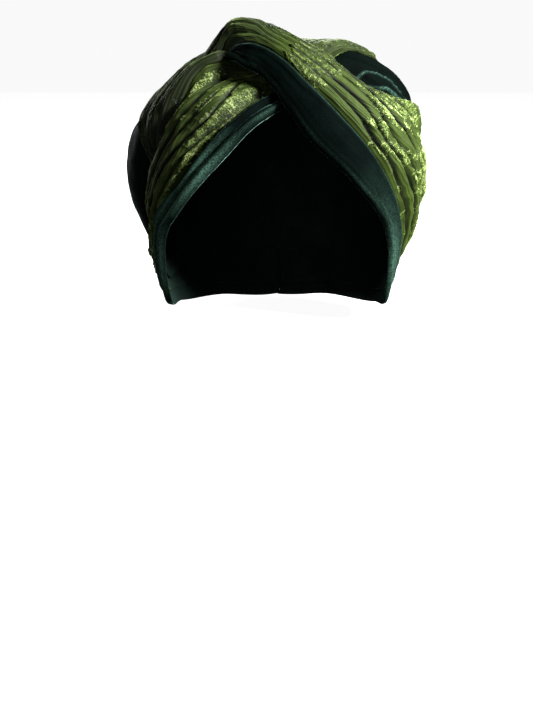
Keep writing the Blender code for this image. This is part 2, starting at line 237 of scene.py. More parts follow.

# The grooves between a band's pleats: places across it at these shares of its length, and the depth
# of the painted shade in each
RIGHT_STATIONS = [0.0, 0.25, 0.40, 0.44, 0.475, 0.50, 0.53, 0.56, 0.62, 0.70, 0.80, 1.0]
RIGHT_GROOVES = [
    ([0.13, 0.11, 0.09, 0.09, 0.10, 0.11, 0.10, 0.17, 0.22, 0.20, 0.16, 0.15], 0.9),
    ([0.28, 0.24, 0.18, 0.20, 0.21, 0.21, 0.23, 0.35, 0.38, 0.34, 0.30, 0.28], 1.0),
    ([0.42, 0.38, 0.29, 0.30, 0.31, 0.33, 0.38, 0.52, 0.58, 0.52, 0.46, 0.42], 0.8),
    ([0.58, 0.50, 0.37, 0.42, 0.47, 0.52, 0.58, 0.68, 0.74, 0.68, 0.62, 0.58], 1.0),
    ([0.70, 0.64, 0.52, 0.54, 0.60, 0.65, 0.70, 0.78, 0.83, 0.78, 0.72, 0.68], 0.7),
    ([0.81, 0.77, 0.68, 0.70, 0.73, 0.77, 0.81, 0.87, 0.90, 0.87, 0.82, 0.80], 0.9),
    ([0.93, 0.91, 0.85, 0.86, 0.88, 0.90, 0.92, 0.95, 0.97, 0.95, 0.93, 0.92], 0.8),
]
LEFT_STATIONS = [0.0, 0.25, 0.36, 0.43, 0.46, 0.49, 0.52, 0.545, 0.60, 0.70, 0.85, 1.0]
LEFT_GROOVES = [
    ([0.16, 0.17, 0.18, 0.20, 0.15, 0.09, 0.07, 0.07, 0.08, 0.10, 0.12, 0.12], 0.7),
    ([0.36, 0.36, 0.35, 0.36, 0.29, 0.22, 0.29, 0.40, 0.42, 0.38, 0.36, 0.36], 1.0),
    ([0.52, 0.52, 0.48, 0.45, 0.40, 0.38, 0.43, 0.50, 0.53, 0.52, 0.50, 0.50], 0.7),
    ([0.68, 0.66, 0.60, 0.54, 0.50, 0.54, 0.60, 0.64, 0.66, 0.66, 0.64, 0.64], 1.0),
    ([0.90, 0.89, 0.86, 0.80, 0.76, 0.78, 0.82, 0.86, 0.88, 0.88, 0.86, 0.86], 0.8),
]

# Where each band's middle lift is reached across it, at shares of its length
RIGHT_MIDDLE = [(0.0, 0.5), (0.70, 0.5), (0.78, 0.36), (0.90, 0.32), (1.0, 0.4)]
LEFT_MIDDLE = [(0.0, 0.5), (1.0, 0.5)]

# Painted shade along each band, at shares of its length, mixed in like the painted shade of its
# grooves
RIGHT_SHADE = [(0.0, 0.0), (0.66, 0.0), (0.74, 0.66), (1.0, 0.80)]
LEFT_SHADE = [(0.0, 0.1), (0.30, 0.1), (0.42, 0.36), (0.60, 0.46), (1.0, 0.50)]

# The ridges of the borders: places at the start and end, width across, and share of the height
WHOLE_LENGTH = [0.0, 1.0]
RIGHT_BORDER_FOLDS = [([0.30, 0.26], 0.30, 0.35)]
LEFT_BORDER_FOLDS = [([0.25, 0.26], 0.24, 1.0), ([0.76, 0.76], 0.24, 1.0)]

# Painted sheen on the borders, at shares of the band's length
RIGHT_BORDER_PAINTED_SHEEN = [(0, 0.3), (0.26, 0.6), (0.34, 1), (0.40, 0.5), (0.48, 0.12), (0.53, 0), (1, 0)]
LEFT_BORDER_PAINTED_SHEEN = [(0, 0.3), (0.32, 0.3), (0.40, 0.6), (0.44, 1), (0.47, 0.3), (0.50, 0), (1, 0)]


class Patch(NamedTuple):
    """A patch of pile, or of bare ground where its strength is below 0, on a band."""

    along: float
    across: float
    length: float
    width: float
    strength: float


RIGHT_PATCHES = [
    Patch(0.640, 0.50, 0.034, 0.60, 1.9),
    Patch(0.712, 0.88, 0.026, 0.30, 1.1),
    Patch(0.690, 0.38, 0.028, 0.45, -1.6),
    Patch(0.590, 0.20, 0.036, 0.28, -1.8),
    Patch(0.600, 0.75, 0.020, 0.25, -0.6),
    Patch(0.500, 0.82, 0.050, 0.26, 1.1),
    Patch(0.500, 0.37, 0.036, 0.05, -1.4),
    Patch(0.435, 0.14, 0.030, 0.06, -1.4),
    Patch(0.430, 0.36, 0.060, 0.08, 0.7),
    Patch(0.545, 0.36, 0.030, 0.12, 0.6),
    Patch(0.340, 0.14, 0.060, 0.07, -1.0),
    Patch(0.750, 0.30, 0.025, 0.40, -0.8),
    # Bare ground at the right band's far end, put there as painted shade
    Patch(0.810, 0.35, 0.070, 0.60, -2.2),
    Patch(0.900, 0.50, 0.120, 0.60, -0.5),
]
LEFT_PATCHES = [
    Patch(0.500, 0.14, 0.055, 0.09, 1.8),
    Patch(0.520, 0.38, 0.030, 0.07, 1.2),
    Patch(0.515, 0.70, 0.020, 0.05, 1.5),
    Patch(0.480, 0.66, 0.025, 0.05, 1.2),
    # Bare ground on the left band's outer ridge, put there as painted shade
    Patch(0.500, 0.90, 0.080, 0.16, -2.2),
    Patch(0.430, 0.09, 0.040, 0.04, 1.2),
    Patch(0.470, 0.50, 0.060, 0.20, -0.9),
    Patch(0.390, 0.50, 0.060, 0.50, -0.9),
    Patch(0.540, 0.66, 0.024, 0.20, -0.4),
    Patch(0.660, 0.60, 0.050, 0.50, 0.8),
]


class Pleats(NamedTuple):
    """What sets one band's pleated cloth apart: its form, painted shade, pile, size cut flat, and
    noise seed.
    """

    stations: list
    grooves: list
    middle: list
    settling: float
    shade: list
    patches: list
    cloth: tuple
    seed: int


class Border(NamedTuple):
    """What sets one border apart: its last section, ridges, painted sheen, size cut flat, and noise
    seed.

    The area is that of the cut cloth, which is narrower at its ends than in the middle.
    """

    last: float
    folds: list
    nap_and_sheen: list
    cloth: tuple
    area: float
    seed: int


RIGHT_PLEATS = Pleats(
    stations=RIGHT_STATIONS,
    grooves=RIGHT_GROOVES,
    middle=RIGHT_MIDDLE,
    settling=0.2,
    shade=RIGHT_SHADE,
    patches=RIGHT_PATCHES,
    cloth=(0.43, 0.085),
    seed=300,
)
LEFT_PLEATS = Pleats(
    stations=LEFT_STATIONS,
    grooves=LEFT_GROOVES,
    middle=LEFT_MIDDLE,
    settling=0.9,
    shade=LEFT_SHADE,
    patches=LEFT_PATCHES,
    cloth=(0.53, 0.060),
    seed=100,
)
RIGHT_BORDER = Border(
    last=RIGHT_BORDER_END,
    folds=RIGHT_BORDER_FOLDS,
    nap_and_sheen=RIGHT_BORDER_PAINTED_SHEEN,
    cloth=(0.34, 0.034),
    area=0.0073,
    seed=400,
)
LEFT_BORDER = Border(
    last=LEFT_BORDER_END,
    folds=LEFT_BORDER_FOLDS,
    nap_and_sheen=LEFT_BORDER_PAINTED_SHEEN,
    cloth=(0.33, 0.022),
    area=0.0060,
    seed=200,
)

# The plain velvets: at their darkest and lightest, the sheen on their folds, and the colour and
# grain of their painted sheen.
# A noise's scale is in features to a metre. A spread is the range of values over which one look
# gives way to the other
CAP_DEEP = (0.0004, 0.0012, 0.0009)
CAP_LIGHT = (0.0014, 0.0050, 0.0038)
CAP_SHEEN = (0.09, 0.19, 0.16)
BORDER_DEEP = (0.0006, 0.0022, 0.0018)
BORDER_LIGHT = (0.0016, 0.0062, 0.0048)
BORDER_SHEEN = (0.40, 0.75, 0.65)
PAINTED_SHEEN = (0.15, 0.33, 0.24)
NAP_SCALE = 60.0
GRAIN_SCALE = 1500.0
SPECK_SCALE = 1100.0
VELVET_SPREAD = (0.42, 0.72)
SPECK_SPREAD = (0.36, 0.66)
LEAST_SPECK = 0.15

# The two-tone velvet: its ground, its pile from flat to raised with painted glints at its
# brightest, its sheen, and the painted shade of its grooves
GROUND_COLOURS = [(0.2, (0.018, 0.032, 0.003)), (0.75, (0.066, 0.108, 0.014))]
PILE_COLOURS = [
    (0.0, (0.006, 0.010, 0.001)),
    (0.35, (0.030, 0.050, 0.006)),
    (0.58, (0.110, 0.175, 0.025)),
    (0.78, (0.420, 0.600, 0.150)),
    (1.0, (0.900, 1.000, 0.480)),
]
LIME_SHEEN = (0.60, 0.90, 0.22)
PAINTED_GROOVE_SHADE = (0.001, 0.002, 0.0004)
GROUND_ROUGHNESS = 0.70
PILE_ROUGHNESS = 0.38
CRUSHED_SCALE = (1500.0, 950.0)
STREAK_SCALE = (260.0, 900.0)
CLUMP_SCALE = (330.0, 240.0)
CLOUD_SCALE = (60.0, 90.0)
RIB_SCALE = 145.0
LIE_SPREAD = (0.72, 1.12)
MASK_SPREAD = (0.72, 0.98)
GROOVE_SHADE_SPREAD = (0.15, 0.85)
WEAVE_DEPTH = 0.25

LINING_DEEP = (0.008, 0.020, 0.015)
LINING_LIGHT = (0.014, 0.034, 0.026)
LINING_SPREAD = (0.35, 0.65)
LINING_SCALE = 40.0
LOOP_SCALE = (900.0, 900.0, 1400.0)

# How the cloths are turned in at their edges, ends and the seam at the centre back
TOP_ROLL = 0.006
EDGE_ROLL = 0.0035
END_ROLL = 0.009
SEAM_ROLL = 0.0025
SEAM_SHARE = 0.45
TURN_ROLL = 0.0016

# The borders: a bead and a line of painted sheen beside each edge, ridges, ripples, and the share
# of painted sheen left in the grooves
BEAD = 0.0005
BEAD_AT = 0.0022
RIM_AT = 0.0012
RIM_WIDTH = 0.0006
RIM_SHARE = 0.35
RIM_LEAST = 0.5
RIM_UNEVENNESS = 0.4
RIM_PATCH = 0.02
EDGE_CLOSENESS = 0.7
FOLD_LEAN = 0.30
FOLD_SHARPNESS = 0.8
RIDGE_WAVE = 0.060
RIDGE_SHIFT = 0.02
RIDGE_LEAST = 0.9
RIDGE_SWELL = 0.25
RIPPLE_SIZE = (0.014, 0.008)
SHEEN_IN_GROOVES = 0.30

# The pleats: their rounded form, and the painted shade of the grooves between them
PLEAT_LEAN = 0.85
PLEAT_FLATNESS = 2.4
PLEAT_ROUNDNESS = 0.6
PLEATS_OUTSIDE = 0.03
LEAST_PLEAT = 0.02
UNEVENNESS = 0.35
FULL_PLEAT = 0.014
GROOVE_WIDTH = 0.0013
GROOVE_LEAST = 0.9
GROOVE_SWELL = 0.4
GROOVES_FULL = 1.4
SETTLING_FROM = 0.66
SETTLING_OVER = 0.30

# How the pleats wander along a band: the lengths of their waves, their shifts and their swelling
LINE_APART = 0.1
LINE_SIZE = 0.01
SLOW_WAVE = 0.045
QUICK_WAVE = 0.012
SLOW_SHIFT = 0.014
QUICK_SHIFT = 0.006
SLOW_SWELL = 0.7
QUICK_SWELL = 0.5

# The creases along and across the pleats: their sizes along and across a band, and sharpness
WARP = 0.004
WARP_SIZE = (0.030, 0.020)
CREASE_SIZE = (0.030, 0.0110)
CREASE_POWER = 4
FLAT_CREASES = 0.30
CROSS_WARP = 3
CROSS_SIZE = (0.0085, 0.022)
CROSS_POWER = 6
CROSS_SHARE = 0.55

# The pile: its clouds and ragged edges, how sharply it begins, how it is crushed, and how its
# patches fade
CLOUD_SIZE = (0.016, 0.011)
CLOUD_WEIGHT = 1.1
RAGGED_SIZE = (0.0011, 0.0045)
RAGGED_WEIGHT = 0.35
PILE_SPREAD = -0.02
PILE_EDGE = 0.30
CRUSH_SIZE = (0.0022, 0.0030)
FLUFF = 0.85
CRUSH_DEPTH = 0.16
PATCH_POWER = 1.5

NOISE_GRADIENTS = 4096
NOISE_PRIMES = (73856093, 19349663, 83492791)
NOISE_GAIN = 1.6

# The camera: the photograph's scale and framing
PIXEL = 0.000667
FRAME_HEIGHT = 711
CENTRE_PX = (11.0, -145.5)
CAMERA_ELEVATION = 8
CAMERA_DISTANCE = 0.9

# The studio
FLOOR_SIZE = 6.0
FLOOR_Z = -0.1705
SKY = 0.95
PAPER = 0.86
PAPER_GLOW = 0.95


class Lamp(NamedTuple):
    """A square light that points at the head's centre."""

    name: str
    azimuth: float
    elevation: float
    distance: float
    size: float
    power: float


LAMPS = [
    Lamp("key", 56, 25, 1.3, 0.25, 38),
    Lamp("top", 84, 50, 1.2, 0.2, 9),
    Lamp("fill", -5, 5, 1.6, 1.0, 1.6),
    Lamp("left", -78, -5, 1.4, 0.2, 9),
    Lamp("right", 95, -4, 1.4, 0.3, 1.5),
    Lamp("back", 180, 25, 1.8, 0.8, 13),
    Lamp("back left", -145, 8, 1.8, 0.8, 13),
]


def directions(azimuth, elevation):
    """Unit vectors in the space where the head is a sphere."""
    az = np.radians(azimuth)
    el = np.radians(elevation)
    return np.stack([np.cos(el) * np.sin(az), -np.cos(el) * np.cos(az), np.sin(el)], -1)


def unit(vectors):
    return vectors / np.linalg.norm(vectors, axis=-1, keepdims=True)


def head_sizes(q):
    half = np.empty_like(q)
    half[..., 0] = HEAD_WIDTH / 2
    half[..., 1] = HEAD_LENGTH / 2
    half[..., 2] = np.where(q[..., 2] > 0, HEAD_CROWN, HEAD_LOWER)
    return half


def head_normals(q):
    return unit(q / head_sizes(q))


def lifted(q, lift):
    """Points at a height above the head."""
    return HEAD_CENTRE + q * head_sizes(q) + head_normals(q) * lift[..., None]


def spline(keys, rows, at):
    """A smooth curve through the rows of a table, read at the given keys."""
    slopes = np.gradient(rows, keys, axis=0)
    i = np.clip(np.searchsorted(keys, at, side="right") - 1, 0, len(keys) - 2)
    span = (keys[i + 1] - keys[i])[:, None]
    x = (at - keys[i])[:, None] / span
    return (
        (2 * x**3 - 3 * x**2 + 1) * rows[i]
        + (x**3 - 2 * x**2 + x) * span * slopes[i]
        + (3 * x**2 - 2 * x**3) * rows[i + 1]
        + (x**3 - x**2) * span * slopes[i + 1]
    )


def smoothstep(x):
    x = np.clip(x, 0, 1)
    return x * x * (3 - 2 * x)


def bulge(x):
    """A rise from 0 to 1 that starts steeply and rounds off."""
    return 1 - (1 - np.clip(x, 0, 1)) ** RISE_POWER


def rounded(x):
    """A quarter circle's rise from 0 to 1."""
    x = np.clip(x, 0, 1)
    return np.sqrt(x * (2 - x))


def noise(points, seed):
    """Smooth noise between about -1 and 1, with features one unit apart."""
    rng = np.random.default_rng(seed)
    gradients = unit(rng.normal(size=(NOISE_GRADIENTS, 3)))
    cell = np.floor(points).astype(np.int64)
    part = points - cell
    fade = part**3 * (part * (part * 6 - 15) + 10)
    total = np.zeros(points.shape[:-1])
    for corner in np.ndindex(2, 2, 2):
        place = np.bitwise_xor.reduce((cell + corner) * np.array(NOISE_PRIMES), axis=-1)
        weight = np.prod(np.where(corner, fade, 1 - fade), axis=-1)
        total += weight * (gradients[place % NOISE_GRADIENTS] * (part - corner)).sum(-1)
    return NOISE_GAIN * total


def layered(points, seed, octaves):
    """Noise with finer noise added to it."""
    total = np.zeros(points.shape[:-1])
    for octave in range(octaves):
        total += noise(points * 2**octave, seed + octave) / 2**octave
    return total


def on_plane(x, y, x_size, y_size):
    """Noise coordinates for a cloth's own plane, with features of the given sizes."""
    return np.stack(np.broadcast_arrays(x / x_size, y / y_size, 0.5), -1)


def widest(grid):
    """Each value of a grid raised to the highest of its neighbours."""
    padded = np.pad(grid, 1, mode="edge")
    rows, columns = grid.shape
    near = [padded[i : i + rows, j : j + columns] for i in range(3) for j in range(3)]
    return np.max(near, axis=0)


def softened(grid):
    """Each value of a grid averaged with its neighbours."""
    padded = np.pad(grid, 1, mode="edge")
    rows, columns = grid.shape
    near = [padded[i : i + rows, j : j + columns] for i in range(3) for j in range(3)]
    return np.mean(near, axis=0)


def finer(grid, rows, columns):
    """A grid read at more places by straight lines between its own."""
    at = np.linspace(0, len(grid) - 1, rows)
    i = np.minimum(at.astype(int), len(grid) - 2)
    share = (at - i)[:, None]
    grid = grid[i] * (1 - share) + grid[i + 1] * share
    at = np.linspace(0, grid.shape[1] - 1, columns)
    i = np.minimum(at.astype(int), grid.shape[1] - 2)
    share = at - i
    return grid[:, i] * (1 - share) + grid[:, i + 1] * share


def floor_under(q, below):
    """How high the pieces below reach above the head, found by rays on a coarser grid."""
    coarse = q[::REST_STEP, :: REST_STEP // 2]
    start = lifted(coarse, np.full(coarse.shape[:-1], SEARCH_REACH))
    inward = -head_normals(coarse)
    under = np.zeros(coarse.shape[:-1])
    for index in np.ndindex(under.shape):
        origin = Vector(start[index])
        way = Vector(inward[index])
        for tree in below:
            distance = tree.ray_cast(origin, way, SEARCH_REACH)[3]
            if distance is not None:
                under[index] = max(under[index], SEARCH_REACH - distance)
    floor = np.where(under > 0, under + LAYER_GAP, HEAD_EASE)
    for step in (widest, softened, softened):
        floor = step(floor)
    return finer(floor, *q.shape[:2])


def ridge_relief(folds, along, across, wander):
    """The height of the highest ridge at each place on a border."""
    height = np.zeros(across.shape)
    for k, (places, width, tall) in enumerate(folds):
        place = spline(np.array(WHOLE_LENGTH), np.array(places)[:, None], along)
        shift, swell = wander(k)
        x = (across - place - shift) / width
        x = x + FOLD_LEAN * np.clip(1 - x * x, 0, 1)
        height = np.maximum(height, tall * swell * np.clip(1 - x * x, 0, 1) ** FOLD_SHARPNESS)
    return height


def pleat_relief(kind, along, across, width, wander):
    """Rounded pleats between sharp grooves: their height, and how strongly each groove's painted
    shade reaches each place.
    """
    stations = np.array(kind.stations)
    places = [np.full((len(along), 1), -PLEATS_OUTSIDE)]
    depths = []
    for k, (groove, depth) in enumerate(kind.grooves):
        shift, swell = wander(k)
        places.append(spline(stations, np.array(groove)[:, None], along) + shift)
        depths.append(depth * (GROOVE_LEAST + GROOVE_SWELL * swell))
    places.append(np.full((len(along), 1), 1 + PLEATS_OUTSIDE))
    height = np.zeros(across.shape)
    groove = np.zeros(across.shape)
    for k, (low, high) in enumerate(zip(places[:-1], places[1:])):
        uneven = 1 + UNEVENNESS * wander(k + 0.5)[1]
        share = np.clip((across - low) / np.maximum(high - low, LEAST_PLEAT), 0, 1)
        size = np.clip((high - low) * width / FULL_PLEAT, 0, 1) ** 0.5
        top = 1 - np.abs(2 * share**PLEAT_LEAN - 1) ** PLEAT_FLATNESS
        height = np.maximum(height, uneven * size * np.clip(top, 0, 1) ** PLEAT_ROUNDNESS)
        if k < len(depths):
            near = np.exp(-(((across - high) * width / GROOVE_WIDTH) ** 2))
            groove = np.maximum(groove, depths[k] * near)
    return height, np.clip(groove, 0, 1)


def between(a, b, across):
    """Directions from one edge to the other. The left ones start past the centre back, to lap."""
    q = a[:, None, :] + (b - a)[:, None, :] * across[..., None]
    q[0, :, 0] = (SEAM_GAP if q[1, 0, 0] > 0 else SEAM_OVERLAP) / HEAD_WIDTH
    return unit(q)


def length_of(edge_a, edge_b):
    """How far apart two edges are on the head."""
    return np.linalg.norm((edge_b - edge_a) * head_sizes(edge_b), axis=1, keepdims=True)


class Band:
    """A band's edges and lifts, worked out along its length from its sections."""

    def __init__(self, sections):
        rows = Section(*np.array(sections, float).T)
        low = directions(rows.low_az, rows.low_el)
        seam = directions(rows.seam_az, rows.seam_el)
        top = directions(rows.top_az, rows.top_el)
        middle = unit(seam + top)
        steps = np.linalg.norm(np.diff(middle * head_sizes(middle), axis=0), axis=1)
        self.length = steps.sum()
        self.keys = np.concatenate([[0], np.cumsum(steps)]) / steps.sum()
        self.rows = np.hstack([low, seam, top, np.array(rows[6:]).T])

    def at(self, along):
        """The three edges' directions and the five lifts at shares of the band's length."""
        values = spline(self.keys, self.rows, along)
        edges = [unit(values[:, i : i + 3]) for i in (0, 3, 6)]
        return *edges, *values[:, 9:].T[..., None]

    def key_at(self, row):
        return float(np.interp(row, np.arange(len(self.keys)), self.keys))


def wall(name, outer, inner, ring=False, uv=None, values=None):
    """A closed cloth: a fine outer side, a lining with half the steps, and rims that join them."""
    points, faces = [], []
    count = 0
    sides = []
    crowns = []
    for side in (outer, inner[::2, ::2]):
        rows, columns = side.shape[:2]
        index = np.arange(count, count + rows * columns).reshape(rows, columns)
        points.append(side.reshape(-1, 3))
        count += rows * columns
        sides.append(np.hstack([index, index[:, :1]]) if ring else index)
        if ring:
            points.append(side[-1].mean(axis=0, keepdims=True))
            crowns.append(count)
            count += 1
    counts = []
    for side, crown, turned in zip(sides, crowns or (None, None), (False, True)):
        quads = np.stack([side[:-1, :-1], side[:-1, 1:], side[1:, 1:], side[1:, :-1]], -1)
        quads = quads.reshape(-1, 4)
        faces += (quads[:, ::-1] if turned else quads).tolist()
        if ring:
            last = side[-1]
            around = np.stack([last[:-1], last[1:], np.full(len(last) - 1, crown)], -1)
            faces += (around[:, ::-1] if turned else around).tolist()
        counts.append(len(faces))
    fine, coarse = sides
    rims = [(fine[0], coarse[0], False)]
    if not ring:
        rims += [(fine[-1], coarse[-1], True), (fine[:, 0], coarse[:, 0], True)]
        rims += [(fine[:, -1], coarse[:, -1], False)]
    for a, b, turned in rims:
        strips = np.concatenate(
            [
                np.stack([a[1::2], a[:-1:2], b[:-1]], -1),
                np.stack([a[2::2], a[1::2], b[1:]], -1),
                np.stack([a[1::2], b[:-1], b[1:]], -1),
            ]
        )
        faces += (strips[:, ::-1] if turned else strips).tolist()
    points = np.concatenate(points)
    first = points[np.array([face[:3] for face in faces])]
    second = points[np.array([face[:1] + face[2:] for face in faces if len(face) == 4])]
    if sum((c[:, 0] * np.cross(c[:, 1], c[:, 2])).sum() for c in (first, second)) < 0:
        faces = [face[::-1] for face in faces]
    mesh = bpy.data.meshes.new(name)
    mesh.from_pydata(points.tolist(), [], faces)
    mesh.shade_smooth()
    slots = np.zeros(len(faces), np.int32)
    slots[counts[0] : counts[1]] = 1
    mesh.polygons.foreach_set("material_index", slots)
    if uv is not None:
        flat = np.concatenate([uv.reshape(-1, 2), uv[::2, ::2].reshape(-1, 2)])
        corner = np.zeros(len(mesh.loops), np.int32)
        mesh.loops.foreach_get("vertex_index", corner)
        layer = mesh.uv_layers.new(name="cloth")
        layer.data.foreach_set("uv", flat[corner].ravel().astype(np.float32))
    for key, grid in (values or {}).items():
        attribute = mesh.attributes.new(key, "FLOAT", "POINT")
        crown = np.zeros(1 if ring else 0)
        flat = np.concatenate([grid.ravel(), crown, grid[::2, ::2].ravel(), crown])
        attribute.data.foreach_set("value", flat.astype(np.float32))
    obj = bpy.data.objects.new(name, mesh)
    bpy.context.scene.collection.objects.link(obj)
    tree = BVHTree.FromPolygons(points.tolist(), faces)
    return obj, tree


def cap_relief(rib, elevation, q):
    """The cap's height, and its tucks and ripples above that."""
    inside = smoothstep((elevation - rib.rim) / (rib.edge - rib.rim))
    outside = bulge((elevation - rib.edge) / (rib.full - rib.edge))
    settled = smoothstep((elevation - rib.full) / (90 - rib.full)) ** CAP_SETTLING
    share = rib.edge_lift * inside + (rib.full_lift - rib.edge_lift) * outside
    base = HEAD_EASE + CAP_FULLNESS * (share + (CAP_TOP_LIFT - rib.full_lift) * settled)
    sideways = np.cos(np.radians(elevation)) * np.sin(np.radians(rib.azimuth))
    sway = GATHER_SWAY * noise(q * GATHER_SWAY_FINENESS, 31)
    gather = (1 + np.cos(GATHER_COUNT * math.pi * (sideways + sway))) / 2
    relief = GATHER_HEIGHT * gather * outside * (1 - GATHER_FADE * settled)
    for tuck in TUCKS:
        starts = smoothstep((rib.azimuth - tuck.first) / TUCK_START)
        ends = smoothstep((tuck.last - rib.azimuth) / TUCK_END)
        above = elevation - rib.edge - tuck.above_edge
        above = above - TUCK_SWAY * noise(q * TUCK_SWAY_FINENESS, 12)
        step = smoothstep(above / TUCK_RISE) * np.exp(-np.clip(above, 0, None) / tuck.fall)
        relief = relief + TUCK_HEIGHT * tuck.height * starts * ends * step
    relief = relief + CAP_RIPPLE * outside * (1 + layered(q * RIPPLE_FINENESS, 41, 2))
    return base, relief


def beside(line, azimuth, elevation):
    """How far each place is from a line on the head, in degrees."""
    nearest = np.full(elevation.shape, np.inf)
    shrink = np.cos(np.radians(elevation))
    for (az_a, el_a), (az_b, el_b) in zip(line[:-1], line[1:]):
        run = (az_b - az_a) * shrink
        rise = el_b - el_a
        x = (azimuth - az_a) * shrink
        y = elevation - el_a
        share = np.clip((x * run + y * rise) / (run * run + rise * rise), 0, 1)
        nearest = np.minimum(nearest, np.hypot(x - share * run, y - share * rise))
    return nearest


def make_cap():
    """The gathered velvet cap, open below."""
    table = np.array(CAP_TABLE, float)
    table = np.vstack([table[-1] - FULL_TURN, table, table[0] + FULL_TURN])
    azimuth = -180 + 360 * np.arange(CAP_RIBS) / CAP_RIBS
    rib = Rib(*spline(table[:, 0], table, azimuth).T)
    rings = np.arange(CAP_RINGS)[:, None] / CAP_RINGS
    elevation = rib.rim + (90 - rib.rim) * rings
    q = directions(np.broadcast_to(azimuth, elevation.shape), elevation)
    base, relief = cap_relief(rib, elevation, q)
    edge = rounded((elevation - rib.rim) / CAP_RIM_ROLL)
    # Lines along the cap's turned edges: a slight rise, and painted sheen that is uneven along them
    nap_and_sheen = np.zeros(elevation.shape)
    for line in CAP_EDGES:
        nap_and_sheen = np.maximum(nap_and_sheen, np.exp(-((beside(line, azimuth, elevation) / CAP_EDGE_WIDTH) ** 2)))
    outer = base + THINNEST + (CAP_WALL - THINNEST + relief + CAP_EDGE_RISE * nap_and_sheen) * edge
    uneven = CAP_EDGE_UNEVENNESS * noise(q * CAP_EDGE_FINENESS, 61)
    values = {"nap_and_sheen": nap_and_sheen * np.clip(CAP_EDGE_SHARE + uneven, 0, 1)}
    return wall("cap_velvet_cloth", lifted(q, outer), lifted(q, base), ring=True, values=values)


def patches_on(patches, along, across):
    """How strongly the patches ask for pile at each place."""
    total = np.zeros(across.shape)
    for patch in patches:
        x = (along[:, None] - patch.along) / patch.length
        y = (across - patch.across) / patch.width
        total += patch.strength * np.exp(-((x * x + y * y) ** PATCH_POWER))
    return total


def make_pleats(name, band, kind, below):
    """A band's pleated two-tone velvet, from under the border to its turned upper edge."""
    cloth = kind.cloth
    seed = kind.seed
    along = np.interp(
        np.linspace(0, len(band.keys) - 1, BAND_STEPS), np.arange(len(band.keys)), band.keys
    )
    low, seam, top, _, seam_lift, middle_lift, top_lift, fold = band.at(along)
    border_width = length_of(low, seam)
    lap = np.minimum(SEAM_LAP, LARGEST_LAP * border_width)
    start = unit(seam + (low - seam) * lap / np.maximum(border_width, SEAM_LAP))
    width = length_of(start, top)
    across = np.broadcast_to(np.linspace(0, 1, PLEAT_STEPS), (BAND_STEPS, PLEAT_STEPS))
    covered = lap / width
    t = np.clip((across - covered) / (1 - covered), 0, 1)
    tucked = np.maximum(seam_lift - SEAM_DEPTH / BAND_FULLNESS, 0)
    rise = tucked + (seam_lift - tucked) * smoothstep(t / SEAM_RISE_END)
    middle = np.interp(along, *np.array(kind.middle).T)[:, None]
    rise = rise + (middle_lift - seam_lift) * smoothstep(t / middle)
    rise = rise + (top_lift - middle_lift) * smoothstep((t - middle) / (1 - middle))
    q = between(start, top, across)
    x = np.broadcast_to(along[:, None] * cloth[0], t.shape)
    y = t * cloth[1]

    def wander(k):
        slow = on_plane(x[:, :1], k * LINE_APART, SLOW_WAVE, LINE_SIZE)
        quick = on_plane(x[:, :1], k * LINE_APART, QUICK_WAVE, LINE_SIZE)
        shift = SLOW_SHIFT * noise(slow, seed + 50) + QUICK_SHIFT * noise(quick, seed + 55)
        swell = SLOW_SWELL * noise(slow, seed + 60) + QUICK_SWELL * noise(quick, seed + 65)
        return shift, swell

    emerged = smoothstep(t / FOLDS_BEGIN)
    # Painted shade near each groove, as strong as the band is folded
    pleats, groove = pleat_relief(kind, along, t, width, wander)
    groove = groove * np.clip(GROOVES_FULL * fold, 0, 1) * emerged
    # Painted shade along the band, at shares of its length
    groove = np.maximum(groove, np.interp(along, *np.array(kind.shade).T)[:, None])
    settled = kind.settling * smoothstep((t - SETTLING_FROM) / SETTLING_OVER)
    pleats = pleats * fold * emerged * (1 - settled)
    warp = WARP * noise(on_plane(x, y, *WARP_SIZE), seed)
    crease = 1 - np.abs(layered(on_plane(x, y + warp, *CREASE_SIZE), seed + 1, 2))
    creased = FLAT_CREASES + (1 - FLAT_CREASES) * fold
    crinkle = np.clip(crease, 0, 1) ** CREASE_POWER * creased * emerged
    cross = 1 - np.abs(noise(on_plane(x + CROSS_WARP * warp, y, *CROSS_SIZE), seed + 3))
    crinkle = crinkle + CROSS_SHARE * np.clip(cross, 0, 1) ** CROSS_POWER * fold * emerged
    wish = patches_on(kind.patches, along, t)
    cloud = layered(on_plane(x, y + warp, *CLOUD_SIZE), seed + 5, 3)
    ragged = noise(on_plane(x, y, *RAGGED_SIZE), seed + 9)
    wish = wish + CLOUD_WEIGHT * cloud + RAGGED_WEIGHT * ragged + PILE_SPREAD
    pile = smoothstep(wish / PILE_EDGE)
    crushed = layered(on_plane(x, y, *CRUSH_SIZE), seed + 14, 2)
    fluff = pile * (FLUFF + CRUSH_DEPTH * crushed) * emerged
    far_top = (1 - across) * width
    far_end = (1 - along[:, None]) * band.length
    far_seam = along[:, None] * band.length
    floor = floor_under(q, below)
    roll = rounded(far_top / TOP_ROLL) * rounded(far_end / END_ROLL)
    inner = np.maximum(HEAD_EASE + BAND_FULLNESS * rise, floor)
    inner = floor + (inner - floor) * roll
    thin = rounded(far_top / EDGE_ROLL) * rounded(far_end / END_ROLL)
    thin = thin * (SEAM_SHARE + (1 - SEAM_SHARE) * rounded(far_seam / SEAM_ROLL))
    relief = PLEAT_HEIGHT * pleats + CRINKLE * crinkle + PILE * fluff
    outer = inner + THINNEST + np.maximum(PLEATED_WALL - THINNEST + relief, 0) * thin
    uv = np.stack([x, y], -1)
    values = {"pile": pile, "crest_highlight": np.clip(pleats, 0, 1), "crush": crushed, "groove": groove}
    return wall(name, lifted(q, outer), lifted(q, inner), uv=uv, values=values)


